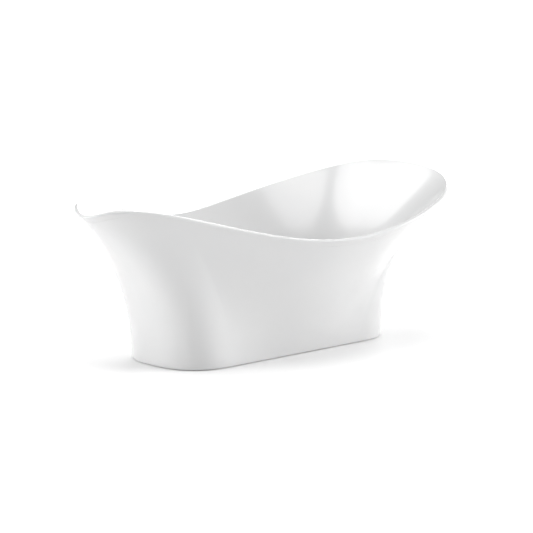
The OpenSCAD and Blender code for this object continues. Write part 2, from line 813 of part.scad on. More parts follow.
// Cubic curve through the four knots, with a straight grip at each end
function bezier(k, t) = pow(1 - t, 3) * k[0] + 3 * t * pow(1 - t, 2) * k[1]
    + 3 * t * t * (1 - t) * k[2] + pow(t, 3) * k[3];
hose_route = concat(
    [hose_top - hose_grip * hose_top_dir],
    [for (i = [0:hose_steps]) bezier(hose_knots, i / hose_steps)],
    [hose_low + hose_grip * hose_low_dir]
);
function route_dir(i) =
    unit(hose_route[min(i + 1, len(hose_route) - 1)] - hose_route[max(i - 1, 0)]);
function tube_ring(i, r) = let (
        d = route_dir(i),
        side = [0, 1, 0],
        over = cross(side, d)
    ) [for (j = [0:hose_sides - 1]) let (a = j * 360 / hose_sides)
        hose_route[i] + r * (cos(a) * side + sin(a) * over)];

module overflow_hose() color(plastic) skin(concat(
    [for (i = [0:len(hose_route) - 1]) tube_ring(i, hose_r)],
    [for (i = [len(hose_route) - 1:-1:0]) tube_ring(i, hose_in_r)]
), true);

module hose_clip() {
    ring(hose_r + clip_band_t + 0.1, hose_r + 0.1, 0, clip_band_w);
    translate([-4, hose_r + 0.1, 0]) cube([8, 6, clip_band_w]);
}

module hose_clips() color(steel) {
    at_overflow() translate([elbow_r + spigot_out - hose_grip + 4, 0, spigot_axis])
        rotate([0, 90, 0]) hose_clip();
    translate(hose_low + [hose_grip - 4, 0, 0]) rotate([0, -90, 0]) hose_clip();
}

// ---- Drawing ---------------------------------------------------------------

basin();
skirt();
floor_board();
frame_rails();
frame_crossbars();
frame_bolts();
board_screws();
skirt_brackets();
skirt_blocks();
bracket_screws();
weld_nuts();
lock_nuts();
foot_pad_1();
foot_pad_2();
foot_pad_3();
foot_pad_4();
foot_stud_1();
foot_stud_2();
foot_stud_3();
foot_stud_4();
waste_flange();
flange_seal();
waste_washer();
waste_body();
outlet_pipe();
outlet_nut();
outlet_seal();
plug_cap();
plug_stem();
plug_seal();
overflow_cover();
overflow_screw();
overflow_gasket();
overflow_elbow();
overflow_hose();
hose_clips();
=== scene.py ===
"""Looks of a freestanding slipper bath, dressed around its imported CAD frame.

The two acrylic shells are lofted again at a fine pitch along the same curves as
the part's source. The fittings, the frame and the feet get their bevels,
threads, ribs and finishes here. Everything is in metres, in the CAD's frame.
"""

import json
import logging
import math
from collections.abc import Callable, Sequence
from dataclasses import dataclass
from enum import Enum

import bmesh
import bpy
from bmesh.types import BMEdge, BMesh, BMFace, BMVert
from mathutils import Matrix, Vector


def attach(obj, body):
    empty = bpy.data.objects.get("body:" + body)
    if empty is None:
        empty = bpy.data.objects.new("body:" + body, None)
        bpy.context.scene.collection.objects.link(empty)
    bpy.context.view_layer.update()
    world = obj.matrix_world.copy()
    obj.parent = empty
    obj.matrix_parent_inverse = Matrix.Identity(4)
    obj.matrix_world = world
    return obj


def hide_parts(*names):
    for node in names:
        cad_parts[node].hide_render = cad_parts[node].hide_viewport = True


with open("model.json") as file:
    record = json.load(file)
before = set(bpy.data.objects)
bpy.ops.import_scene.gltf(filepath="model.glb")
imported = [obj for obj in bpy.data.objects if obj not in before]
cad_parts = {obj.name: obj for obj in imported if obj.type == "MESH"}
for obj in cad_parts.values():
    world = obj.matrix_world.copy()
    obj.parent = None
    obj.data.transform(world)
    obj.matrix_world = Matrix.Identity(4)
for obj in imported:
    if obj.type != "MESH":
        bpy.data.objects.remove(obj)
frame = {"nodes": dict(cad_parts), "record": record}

LOG = logging.getLogger("bath")
Ring = Callable[[float], Vector]
Point = tuple[float, float, float]
Flat = tuple[float, float]
Colour = tuple[float, float, float]

# Share of a pattern's range below and above which its result stays level
PATTERN_LOW = 0.3
PATTERN_HIGH = 0.7
# Distances within which points are merged, and faces are taken as empty
MERGE = 1e-6
EMPTY = 1e-7


class Carve(Enum):
    """What a tool does to the mesh it is put to."""

    JOIN = "UNION"
    CUT = "DIFFERENCE"


def direction(azimuth: float, elevation: float) -> Vector:
    """The way to look or shine from, as a unit vector.

    Args:
        azimuth: Degrees round from -Y towards +X.
        elevation: Degrees above the floor.

    Returns:
        The vector.
    """
    a, e = math.radians(azimuth), math.radians(elevation)
    return Vector((math.sin(a) * math.cos(e), -math.cos(a) * math.cos(e), math.sin(e)))


def aimed(name: str, data: bpy.types.ID, spot: Vector, way: Vector) -> bpy.types.Object:
    """Puts a camera or a lamp in the scene, facing back along a direction.

    Args:
        name: The object's name.
        data: The camera or lamp.
        spot: Where it goes.
        way: The direction it comes from.

    Returns:
        The new object.
    """
    item = bpy.data.objects.new(name, data)
    item.location = spot
    item.rotation_euler = way.to_track_quat("Z", "Y").to_euler()
    bpy.context.scene.collection.objects.link(item)
    return item


# ---- Finishes ---------------------------------------------------------------


class NodeGraph:
    """A material's node tree, with short calls to add and join nodes."""

    def __init__(self, name: str) -> None:
        """Starts a material with one principled shader.

        Args:
            name: The material's name.
        """
        self.material = bpy.data.materials.new(name)
        self.material.use_nodes = True
        self.tree = self.material.node_tree
        self.shader = self.tree.nodes["Principled BSDF"]
        self.coords = self.add("ShaderNodeTexCoord").outputs["Object"]

    def add(self, kind: str, **settings: object) -> bpy.types.Node:
        """Adds a node.

        Args:
            kind: The node's type.
            settings: Attributes to set on it.

        Returns:
            The new node.
        """
        node = self.tree.nodes.new(kind)
        for key, value in settings.items():
            setattr(node, key, value)
        return node

    def join(self, out: bpy.types.NodeSocket, into: bpy.types.NodeSocket) -> None:
        """Links an output to an input."""
        self.tree.links.new(out, into)

    def scaled(self, scale: Point) -> bpy.types.NodeSocket:
        """Object coordinates stretched by a scale for each axis."""
        mapping = self.add("ShaderNodeMapping")
        mapping.inputs["Scale"].default_value = scale
        self.join(self.coords, mapping.inputs["Vector"])
        return mapping.outputs["Vector"]

    def noise(
        self,
        scale: float,
        detail: float = 3.0,
        stretch: Point = (1, 1, 1),
    ) -> bpy.types.NodeSocket:
        """Adds a noise pattern.

        Args:
            scale: Repeats per metre.
            detail: Levels of finer noise.
            stretch: Scale for each axis before the pattern.

        Returns:
            The pattern's value, from 0 to 1.
        """
        node = self.add("ShaderNodeTexNoise")
        node.inputs["Scale"].default_value = scale
        node.inputs["Detail"].default_value = detail
        self.join(self.scaled(stretch), node.inputs["Vector"])
        return node.outputs["Fac"]

    def spread(
        self, value: bpy.types.NodeSocket, low: float, high: float
    ) -> bpy.types.NodeSocket:
        """Maps a pattern's middle range to a range of values.

        Args:
            value: A pattern from 0 to 1.
            low: Result at the low end of that range.
            high: Result at its high end.

        Returns:
            The mapped value.
        """
        node = self.add("ShaderNodeMapRange")
        node.inputs["From Min"].default_value = PATTERN_LOW
        node.inputs["From Max"].default_value = PATTERN_HIGH
        node.inputs["To Min"].default_value = low
        node.inputs["To Max"].default_value = high
        self.join(value, node.inputs["Value"])
        return node.outputs["Result"]

    def blend(
        self, value: bpy.types.NodeSocket, first: Colour, second: Colour
    ) -> bpy.types.NodeSocket:
        """Blends two colours by a pattern.

        Args:
            value: A pattern from 0 to 1.
            first: Colour where the pattern is low.
            second: Colour where it is high.

        Returns:
            The blended colour.
        """
        ramp = self.add("ShaderNodeValToRGB")
        ramp.color_ramp.elements[0].position = PATTERN_LOW
        ramp.color_ramp.elements[0].color = (*first, 1)
        ramp.color_ramp.elements[1].position = PATTERN_HIGH
        ramp.color_ramp.elements[1].color = (*second, 1)
        self.join(value, ramp.inputs["Fac"])
        return ramp.outputs["Color"]

    def bump(
        self, height: bpy.types.NodeSocket, strength: float, distance: float
    ) -> None:
        """Dents the surface by a pattern.

        Args:
            height: The pattern.
            strength: Share of the effect, 0 to 1.
            distance: Depth of the pattern, in metres.
        """
        node = self.add("ShaderNodeBump")
        node.inputs["Strength"].default_value = strength
        node.inputs["Distance"].default_value = distance
        self.join(height, node.inputs["Height"])
        self.join(node.outputs["Normal"], self.shader.inputs["Normal"])

    def feed(self, **outputs: bpy.types.NodeSocket) -> None:
        """Links outputs to the shader's sockets, named with _ for a space."""
        for key, out in outputs.items():
            self.join(out, self.shader.inputs[key.replace("_", " ")])

    def plain(self, **values: float) -> None:
        """Sets the shader's own sockets, named with _ for a space."""
        for key, value in values.items():
            self.shader.inputs[key.replace("_", " ")].default_value = value


@dataclass(frozen=True)
class Finish:
    """A surface finish. Its material is built once, and shared."""

    slot: str
    light: Colour
    dark: Colour
    rough_low: float
    rough_high: float
    grain: float = 40.0

    def paint(self, graph: NodeGraph) -> None:
        """Mottles the colour and the roughness.

        Args:
            graph: The material's node graph.
        """
        mottle = graph.noise(self.grain)
        colour = graph.blend(mottle, self.dark, self.light)
        graph.feed(Base_Color=colour)
        fine = graph.noise(self.grain * 6, 2)
        rough = graph.spread(fine, self.rough_low, self.rough_high)
        graph.feed(Roughness=rough)

    def material(self) -> bpy.types.Material:
        """The finish's material, made on first use."""
        name = f"{self.slot}_{type(self).__name__.lower()}"
        if name in bpy.data.materials:
            return bpy.data.materials[name]
        graph = NodeGraph(name)
        self.paint(graph)
        return graph.material


@dataclass(frozen=True)
class SanitaryAcrylic(Finish):
    """Glossy vacuum-formed acrylic sheet."""

    def paint(self, graph: NodeGraph) -> None:
        """Adds a clear gloss and the faint ripple of formed sheet."""
        super().paint(graph)
        graph.plain(
            IOR=1.49,
            Specular_IOR_Level=0.5,
            Coat_Weight=0.35,
            Coat_Roughness=0.12,
            Coat_IOR=1.45,
        )
        graph.bump(graph.noise(9.0, 1), 0.10, 0.0015)


@dataclass(frozen=True)
class FibreBacking(Finish):
    """Rough glass-fibre and resin on the back of a shell."""

    def paint(self, graph: NodeGraph) -> None:
        """Adds chopped strands pressed into resin."""
        super().paint(graph)
        graph.plain(IOR=1.5)
        graph.bump(graph.noise(220.0, 4, (1, 1, 0.35)), 0.5, 0.0012)


@dataclass(frozen=True)
class ChromePlate(Finish):
    """Bright chrome plate."""

    def paint(self, graph: NodeGraph) -> None:
        """Makes the surface metal, with faint polishing haze."""
        super().paint(graph)
        graph.plain(Metallic=1.0)
        graph.bump(graph.noise(600.0, 2), 0.03, 0.0002)


@dataclass(frozen=True)
class SteelTube(Finish):
    """Galvanised steel with its spangle."""

    def paint(self, graph: NodeGraph) -> None:
        """Adds crystals of zinc, each of its own grey."""
        graph.plain(Metallic=1.0)
        cells = graph.add("ShaderNodeTexVoronoi")
        cells.inputs["Scale"].default_value = self.grain
        graph.join(graph.scaled((1, 1, 1)), cells.inputs["Vector"])
        grey = graph.add("ShaderNodeSeparateColor")
        graph.join(cells.outputs["Color"], grey.inputs["Color"])
        colour = graph.blend(grey.outputs["Red"], self.dark, self.light)
        graph.feed(Base_Color=colour)
        rough = graph.spread(
            grey.outputs["Green"], self.rough_low, self.rough_high
        )
        graph.feed(Roughness=rough)
        graph.bump(graph.noise(300.0, 3), 0.15, 0.0004)


@dataclass(frozen=True)
class MouldedRubber(Finish):
    """Matt moulded rubber."""

    def paint(self, graph: NodeGraph) -> None:
        """Adds the fine grain of the mould."""
        super().paint(graph)
        graph.bump(graph.noise(900.0, 3), 0.35, 0.0003)


@dataclass(frozen=True)
class MouldedPlastic(Finish):
    """Satin polypropylene."""

    def paint(self, graph: NodeGraph) -> None:
        """Adds flow marks and a fine grain."""
        super().paint(graph)
        graph.plain(IOR=1.49, Subsurface_Weight=0.05)
        graph.bump(graph.noise(500.0, 2), 0.12, 0.0002)


@dataclass(frozen=True)
class Plywood(Finish):
    """Sealed plywood: long grain on its faces, plies at its edges."""

    ply: float = 0.0026

    def paint(self, graph: NodeGraph) -> None:
        """Draws long grain along the bath, and darker plies by height."""
        streak = graph.noise(self.grain, 6, (0.12, 1.6, 1.6))
        colour = graph.blend(streak, self.dark, self.light)
        plies = graph.add("ShaderNodeTexWave", bands_direction="Z")
        plies.inputs["Scale"].default_value = 1 / (self.ply * 20)
        plies.inputs["Distortion"].default_value = 0.6
        graph.join(graph.scaled((1, 1, 1)), plies.inputs["Vector"])
        edge = graph.add("ShaderNodeMix", data_type="RGBA", blend_type="MULTIPLY")
        edge.inputs["Factor"].default_value = 0.35
        graph.join(colour, edge.inputs[6])
        graph.join(plies.outputs["Color"], edge.inputs[7])
        graph.feed(Base_Color=edge.outputs[2])
        rough = graph.spread(streak, self.rough_low, self.rough_high)
        graph.feed(Roughness=rough)
        graph.bump(streak, 0.3, 0.0006)


ACRYLIC = SanitaryAcrylic(
    "acrylic", (0.72, 0.72, 0.72), (0.705, 0.707, 0.71), 0.22, 0.27, 6.0
)
BACKING = FibreBacking(
    "acrylic", (0.78, 0.77, 0.72), (0.66, 0.65, 0.6), 0.5, 0.75, 120.0
)
CHROME = ChromePlate(
    "chrome", (0.80, 0.80, 0.82), (0.76, 0.77, 0.79), 0.05, 0.11, 90.0
)
GALVANISED = SteelTube(
    "steel", (0.62, 0.63, 0.65), (0.42, 0.43, 0.46), 0.3, 0.5, 110.0
)
ZINC = SteelTube(
    "zinc", (0.74, 0.75, 0.77), (0.58, 0.59, 0.61), 0.22, 0.34, 500.0
)
RUBBER = MouldedRubber(
    "rubber", (0.045, 0.045, 0.047), (0.025, 0.025, 0.027), 0.6, 0.8, 200.0
)
PLASTIC = MouldedPlastic(
    "plastic", (0.80, 0.80, 0.78), (0.74, 0.74, 0.71), 0.38, 0.5, 60.0
)
TIMBER = Plywood(
    "timber", (0.60, 0.43, 0.26), (0.38, 0.25, 0.14), 0.5, 0.7, 28.0
)


MADE_HERE = {
    "basin",
    "skirt",
    "waste_flange",
    "plug_cap",
    "plug_stem",
    "plug_seal",
    "outlet_nut",
    "overflow_cover",
    "overflow_screw",
    "overflow_hose",
    "weld_nuts",
    "lock_nuts",
    *(f"foot_pad_{k}" for k in range(1, 5)),
    *(f"foot_stud_{k}" for k in range(1, 5)),
}


# ---- Shared modelling --------------------------------------------------------


class Workshop:
    """Turns bmeshes into pieces that ride on the frame's bodies."""

    @staticmethod
    def piece(
        mesh: BMesh,
        name: str,
        body: str,
        finish: Finish,
        nodes: Sequence[str] = (),
        crease: float = 35.0,
        back: Finish | None = None,
    ) -> bpy.types.Object:
        """Finishes a mesh as a piece.

        Args:
            mesh: The bmesh, which is freed.
            name: The piece's name.
            body: The CAD body it rides on.
            finish: Its finish.
            nodes: CAD nodes it stands for.
            crease: Angle above which an edge stays sharp, in degrees.
            back: A second finish, for the faces that ask for it.

        Returns:
            The new object.
        """
        for edge in mesh.edges:
            edge.smooth = edge.calc_face_angle(0.0) < math.radians(crease)
        for face in mesh.faces:
            face.smooth = True
        data = bpy.data.meshes.new(name)
        mesh.to_mesh(data)
        mesh.free()
        data.materials.append(finish.material())
        if back:
            data.materials.append(back.material())
        item = bpy.data.objects.new(name, data)
        bpy.context.scene.collection.objects.link(item)
        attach(item, body)
        if nodes:
            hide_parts(*nodes)
        LOG.info("%s: %d faces, on %s", name, len(data.polygons), body)
        return item

    @staticmethod
    def settled(mesh: BMesh) -> BMesh:
        """Merges a mesh's doubles and turns its faces outwards.

        Args:
            mesh: The bmesh, which is changed.

        Returns:
            The same bmesh.
        """
        bmesh.ops.remove_doubles(mesh, verts=mesh.verts, dist=MERGE)
        bmesh.ops.dissolve_degenerate(mesh, edges=mesh.edges, dist=EMPTY)
        bmesh.ops.recalc_face_normals(mesh, faces=mesh.faces)
        return mesh

    @staticmethod
    def carved(mesh: BMesh, *steps: tuple[Carve, BMesh]) -> BMesh:
        """Joins shapes to a mesh or cuts them out of it.

        Args:
            mesh: The bmesh, which is freed.
            steps: What to do, and the shape to do it with, which is freed.

        Returns:
            The carved bmesh.
        """

        def item(shape: BMesh, name: str) -> bpy.types.Object:
            """Puts a shape in the scene for the modifiers to use."""
            data = bpy.data.meshes.new(name)
            shape.to_mesh(data)
            shape.free()
            made = bpy.data.objects.new(name, data)
            bpy.context.scene.collection.objects.link(made)
            return made

        work = item(mesh, "work")
        tools = [item(shape, "tool") for _, shape in steps]
        for (operation, _), tool in zip(steps, tools):
            modifier = work.modifiers.new("carve", "BOOLEAN")
            modifier.operation = operation.value
            modifier.solver = "EXACT"
            modifier.object = tool
        graph = bpy.context.evaluated_depsgraph_get()
        result = bmesh.new()
        result.from_object(work, graph)
        for made in (work, *tools):
            bpy.data.objects.remove(made)
        return result

    @staticmethod
    def dress(node: str, finish: Finish) -> None:
        """Gives a CAD node that stays a finish.

        Args:
            node: The CAD node's name.
            finish: Its finish.
        """
        data = frame["nodes"][node].data
        data.materials.clear()
        data.materials.append(finish.material())
        LOG.info("%s: CAD node in %s", node, finish.slot)


class Loft:
    """A skin made by extruding a ring of edges from curve to curve."""

    def __init__(
        self, angles: Sequence[float], first: Ring, mesh: BMesh | None = None
    ) -> None:
        """Starts the skin.

        Args:
            angles: Angle of each vertex round the ring, in degrees.
            first: Curve of the first ring.
            mesh: A mesh to add to, or None for a new one.
        """
        self.angles = angles
        self.mesh = mesh or bmesh.new()
        layers = self.mesh.verts.layers.int
        self.tag = layers.get("place") or layers.new("place")
        made = bmesh.ops.create_circle(self.mesh, segments=len(angles), radius=1.0)
        ring = sorted(
            made["verts"], key=lambda v: math.atan2(v.co.y, v.co.x) % math.tau
        )
        for index, vertex in enumerate(ring):
            vertex[self.tag] = index
        self.settle(ring, first)
        links = dict.fromkeys(e for v in ring for e in v.link_edges)
        self.edge: list[BMEdge] = list(links)

    def settle(self, ring: Sequence[BMVert], curve: Ring) -> None:
        """Moves a ring's vertices onto a curve."""
        for vertex in ring:
            vertex.co = curve(self.angles[vertex[self.tag]])

    def through(self, *curves: Ring, face: int = 0) -> "Loft":
        """Extrudes the open edge to each curve in turn.

        Args:
            curves: Curves, by the angle in degrees.
            face: Index of the finish on the new faces.

        Returns:
            This loft.
        """
        for curve in curves:
            out = bmesh.ops.extrude_edge_only(self.mesh, edges=self.edge)["geom"]
            self.edge = [g for g in out if isinstance(g, BMEdge)]
            self.settle([g for g in out if isinstance(g, BMVert)], curve)
            for skin in (g for g in out if isinstance(g, BMFace)):
                skin.material_index = face
        return self


class Solid:
    """A piece's mesh, put together from turned, boxed and lofted shapes."""

    # Most of a side that a rounded corner takes, and where its points lie
    corner_share = 0.4
    corner_steps = (0.0, 0.3, 0.7, 1.0)
    # A nut's face across its flats, and the slope of its chamfer
    face_share = 0.98
    chamfer_slope = 0.5
    # A thread's rows in a turn, steepness, radius at its ends and slice
    thread_rows = 6
    flank = 1.3
    end_share = 0.85
    slice_angle = 15

    def __init__(self) -> None:
        """Starts an empty mesh."""
        self.mesh = bmesh.new()

    @staticmethod
    def softened(profile: Sequence[Flat], reach: float) -> list[Flat]:
        """Rounds a closed outline's corners, except those on the axis.

        Args:
            profile: Corners as (radius, height).
            reach: Distance that each rounding takes along its sides.

        Returns:
            The rounded outline.
        """
        points: list[Flat] = []
        for k, corner in enumerate(profile):
            here = Vector(corner)
            if corner[0] < MERGE or reach <= 0:
                points.append(corner)
                continue
            ways = [Vector(profile[k - 1]) - here]
            ways.append(Vector(profile[(k + 1) % len(profile)]) - here)
            ends = [
                here + way.normalized() * min(reach, way.length * Solid.corner_share)
                for way in ways
            ]
            for t in Solid.corner_steps:
                spot = ends[0] * (1 - t) ** 2 + here * 2 * t * (1 - t) + ends[1] * t * t
                points.append((spot.x, spot.y))
        return points

    def turned(
        self,
        profile: Sequence[Flat],
        place: Matrix = Matrix(),
        soft: float = 0.0004,
        steps: int = 64,
    ) -> "Solid":
        """Spins a closed outline a full turn about +Z.

        Args:
            profile: Corners as (radius, height).
            place: Where the shape goes.
            soft: Reach of the rounded corners.
            steps: Facets in a turn.

        Returns:
            This solid.
        """
        points = self.softened(profile, soft)
        spots = [Vector((r, 0, z)) for r, z in points]
        loft = Loft(range(len(spots)), lambda k: place @ spots[k], self.mesh)
        bmesh.ops.spin(
            self.mesh,
            geom=loft.edge,
            cent=place.translation,
            axis=place.to_3x3() @ Vector((0, 0, 1)),
            angle=math.tau,
            steps=steps,
            use_merge=True,
        )
        return self

    def box(
        self, low: Point, high: Point, place: Matrix = Matrix(), edge: float = 0.0005
    ) -> "Solid":
        """Adds a box with bevelled edges.

        Args:
            low: Its lowest corner.
            high: Its highest corner.
            place: Where the shape goes.
            edge: Width of the bevel.

        Returns:
            This solid.
        """
        size = Vector(high) - Vector(low)
        middle = (Vector(high) + Vector(low)) / 2
        matrix = place @ Matrix.Translation(middle) @ Matrix.Diagonal((*size, 1))
        made = bmesh.ops.create_cube(self.mesh, size=1.0, matrix=matrix)["verts"]
        edges = list(dict.fromkeys(e for v in made for e in v.link_edges))
        bmesh.ops.bevel(
            self.mesh,
            geom=edges,
            offset=edge,
            segments=2,
            profile=0.5,
            affect="EDGES",
            material=-1,
        )
        return self

    def nut(
        self, bore: float, r: float, low: float, high: float, place: Matrix = Matrix()
    ) -> "Solid":
        """Adds a chamfered hexagon nut.

        Args:
            bore: Radius of the bore.
            r: Radius over the corners.
            low: Height of its lower face.
            high: Height of its upper face.
            place: Where the shape goes.

        Returns:
            This solid.
        """
        flat = r * math.cos(math.pi / 6)
        face_r = flat * self.face_share

        def across(a: float) -> float:
            """Radius of the hexagon."""
            return flat / math.cos(math.radians(a % 60 - 30))

        def ring(radius: Callable[[float], float], z: Callable[[float], float]) -> Ring:
            """A curve with its own radius and height at each angle."""
            return lambda a: place @ Vector(
                (
                    radius(a) * math.cos(math.radians(a)),
                    radius(a) * math.sin(math.radians(a)),
                    z(a),
                )
            )

        def cut(a: float) -> float:
            """Height that the chamfer takes off a corner."""
            return (across(a) - face_r) * self.chamfer_slope

        Loft(range(0, 360, 6), ring(lambda a: bore, lambda a: low), self.mesh).through(
            ring(lambda a: face_r, lambda a: low),
            ring(across, lambda a: low + cut(a)),
            ring(across, lambda a: high - cut(a)),
            ring(lambda a: face_r, lambda a: high),
            ring(lambda a: bore, lambda a: high),
            ring(lambda a: bore, lambda a: low),
        )
        return self

    def thread(
        self,
        r: float,
        depth: float,
        pitch: float,
        low: float,
        high: float,
        place: Matrix = Matrix(),
    ) -> "Solid":
        """Adds a right-hand threaded rod, closed at both ends.

        Args:
            r: Radius over the crests.
            depth: Depth of the thread.
            pitch: Rise for each turn.
            low: Height of one end.
            high: Height of the other end.
            place: Where the shape goes.

        Returns:
            This solid.
        """

        def ring(z: float, share: float) -> Ring:
            """The thread's section at a height, drawn in by a share."""

            def at(a: float) -> Vector:
                """A point of that section."""
                phase = (z / pitch - a / 360) % 1
                steep = min(1.0, abs(phase * 2 - 1) * self.flank)
                radius = (r - depth * steep) * share
                turn = math.radians(a)
                return place @ Vector(
                    (radius * math.cos(turn), radius * math.sin(turn), z)
                )

            return at

        count = round((high - low) / pitch * self.thread_rows)
        rows = [low + (high - low) * k / count for k in range(count + 1)]
        loft = Loft(range(0, 360, self.slice_angle), ring(low, 0.0), self.mesh)
        loft.through(ring(low, self.end_share))
        loft.through(*[ring(z, 1.0) for z in rows[1:-1]])
        loft.through(ring(high, self.end_share), ring(high, 0.0))
        return self

    def fluted(
        self, count: int, depth: float, beyond: float, place: Matrix = Matrix()
    ) -> "Solid":
        """Presses flutes into everything further out than a radius.

        Args:
            count: Number of flutes.
            depth: Depth of a flute.
            beyond: Radius that is left as it is.
            place: The axis, as +Z of this place.

        Returns:
            This solid.
        """
        back = place.inverted()
        for vertex in self.mesh.verts:
            spot = back @ vertex.co
            r = math.hypot(spot.x, spot.y)
            if r > beyond:
                wave = 0.5 - 0.5 * math.cos(count * math.atan2(spot.y, spot.x))
                share = 1 - depth * wave**3 / r
                spot.x, spot.y = spot.x * share, spot.y * share
                vertex.co = place @ spot
        return self

    def add(self, other: BMesh) -> None:
        """Adds another mesh, which is freed."""
        data = bpy.data.meshes.new("part")
        other.to_mesh(data)
        other.free()
        self.mesh.from_mesh(data)
        bpy.data.meshes.remove(data)

    def done(self) -> BMesh:
        """The mesh with its doubles merged and its faces turned outwards."""
        return Workshop.settled(self.mesh)


# ---- Curves of the bath ------------------------------------------------------


@dataclass(frozen=True)
class BathCurves:
    """The bath's curves by the angle round it, as in the part's source."""

    length: float = 1.650
    half_w: float = 0.437
    egg: float = 0.071
    pinch: float = -0.011
    shift: float = -0.046
    square_3: float = -0.008
    square_5: float = -0.021
    mean_h: float = 0.551
    tilt: float = -0.002
    sweep: float = 0.078
    tall_tip: float = 0.010
    flatten: float = -0.021
    wave_5: float = 0.010
    wave_6: float = -0.003
    base_l: float = 1.082
    base_w: float = 0.440
    base_end: float = 0.208
    corner_a: float = 45.0
    base_power: float = 2.6
    base_shift: float = 0.034
    flare_end: float = 2.6
    flare_side: float = 1.35
    flare_lean: float = 0.2
    flare_straight: float = 0.14
    rim_t: float = 0.016
    lip_h: float = 0.014
    floor_z: float = 0.110
    well_l: float = 0.930
    well_w: float = 0.368
    well_shift: float = 0.035
    well_power: float = 2.6
    well_fillet: float = 0.070
    well_flare_end: float = 2.1
    well_flare_side: float = 1.35
    well_straight: float = 0.2
    waste_inset: float = 0.160
    overflow_drop: float = 0.072

    @staticmethod
    def power(value: float, exponent: float) -> float:
        """A power that keeps the value's sign."""
        return math.copysign(abs(value) ** exponent, value)

    @staticmethod
    def flare(t: float, exponent: float, straight: float) -> float:
        """Share of the way from the foot to the rim, at share t of the height."""
        return (1 - straight) * max(t, 0.0) ** exponent + straight * t

    def rim_xy(self, a: float) -> Vector:
        """Rim's outer edge, seen from above."""
        r = math.radians(a)
        ends = self.square_3 + self.square_5
        x = (self.length / 2 - self.rim_t / 6 - ends) * math.cos(r)
        x += self.square_3 * math.cos(3 * r) + self.square_5 * math.cos(5 * r)
        x += self.shift * (math.cos(2 * r) - 1)
        y = self.half_w * math.sin(r) + self.egg * math.sin(2 * r)
        return Vector((x, y + self.pinch * math.sin(3 * r)))

    def rim_h(self, a: float) -> float:
        """Height of the rim's outer edge."""
        waves = (
            self.tilt,
            self.sweep,
            self.tall_tip,
            self.flatten,
            self.wave_5,
            self.wave_6,
        )
        r = math.radians(a)
        return self.mean_h + sum(
            size * math.cos((n + 1) * r) for n, size in enumerate(waves)
        )

    def foot_xy(self, a: float) -> Vector:
        """Foot of the skirt: straight sides with rounded ends."""
        turn = abs(a) % 180
        q = min(turn, 180 - turn)
        p = math.radians(min(q / self.corner_a, 1) * 90)
        straight = self.base_l / 2 - self.base_end
        if q < self.corner_a:
            x = straight + self.base_end * math.cos(p) ** (2 / self.base_power)
            y = self.base_w / 2 * math.sin(p) ** (2 / self.base_power)
        else:
            x = straight * (90 - q) / (90 - self.corner_a)
            y = self.base_w / 2
        r = math.radians(a)
        right = -1 if math.cos(r) < 0 else 1
        return Vector((self.base_shift + x * right, math.copysign(y, math.sin(r))))

    def well_xy(self, a: float) -> Vector:
        """Plan of the well at floor level, before its fillet."""
        r = math.radians(a)
        x = self.well_l / 2 * self.power(math.cos(r), 2 / self.well_power)
        y = self.well_w / 2 * self.power(math.sin(r), 2 / self.well_power)
        return Vector((self.well_shift + x, y))

    def well_out(self, a: float) -> Vector:
        """Direction out of the well's plan."""
        r = math.radians(a)
        e = 2 - 2 / self.well_power
        x = self.power(math.cos(r), e) / self.well_l
        return Vector((x, self.power(math.sin(r), e) / self.well_w)).normalized()

    def outer(self, z: float, a: float) -> Vector:
        """Outer face of the bath at a height, up to the rim's edge."""
        c = math.cos(math.radians(a))
        bend = self.flare_side + (self.flare_end - self.flare_side) * c * c
        bend += self.flare_lean * c
        f = self.flare(z / self.rim_h(a), bend, self.flare_straight)
        return self.foot_xy(a).lerp(self.rim_xy(a), f).to_3d() + Vector((0, 0, z))

    def outer_normal(self, z: float, a: float) -> Vector:
        """Direction out of the outer face."""
        along = self.outer(z, a + 1) - self.outer(z, a - 1)
        up = self.outer(z + 1e-3, a) - self.outer(z - 1e-3, a)
        return along.cross(up).normalized()

    def edge(self, a: float) -> Vector:
        """A point of the rim's outer edge."""
        return self.outer(self.rim_h(a), a)

    def edge_up(self, a: float) -> Vector:
        """Direction up the outer face at the rim."""
        return (self.edge(a) - self.outer(self.rim_h(a) - 2e-3, a)).normalized()

    def edge_out(self, a: float) -> Vector:
        """Direction across the rim, outwards."""
        along = self.edge(a + 1) - self.edge(a - 1)
        return along.cross(self.edge_up(a)).normalized()

    def inner_edge(self, a: float) -> Vector:
        """The rim's inner edge, straight across from its outer edge."""
        return self.edge(a) - self.rim_t * self.edge_out(a)

    def wall(self, z: float, a: float) -> Vector:
        """Bathing face at a height."""
        e = self.inner_edge(a)
        t = (z - self.floor_z) / (e.z - self.floor_z)
        c = math.cos(math.radians(a))
        bend = self.well_flare_side
        bend += (self.well_flare_end - self.well_flare_side) * c * c
        f = self.flare(t, bend, self.well_straight)
        return self.well_xy(a).lerp(e.to_2d(), f).to_3d() + Vector((0, 0, z))

    def fillet(self, phi: float, a: float) -> Vector:
        """Bathing face round the fillet, from 0 at the floor to 90 degrees."""
        r = math.radians(phi)
        p = self.wall(self.floor_z + self.well_fillet * (1 - math.cos(r)), a)
        return p - self.well_out(a).to_3d() * self.well_fillet * (1 - math.sin(r))

    def roll(self, phi: float, a: float) -> Vector:
        """Rounded rim, from 180 degrees at its inner edge to 0 at its outer."""
        r = math.radians(phi)
        half = self.rim_t / 2
        out = self.edge_out(a)
        centre = self.edge(a) - half * out
        return centre + half * (math.cos(r) * out + math.sin(r) * self.edge_up(a))

    @property
    def waste(self) -> Vector:
        """Centre of the waste hole, on the bathing floor."""
        x = self.well_shift - self.well_l / 2 + self.waste_inset
        return Vector((x, 0, self.floor_z))

    @property
    def overflow(self) -> Vector:
        """Centre of the overflow, on the bathing face."""
        low = min(self.rim_h(a) for a in range(0, 360, 5))
        return self.wall(low - self.overflow_drop, 180)

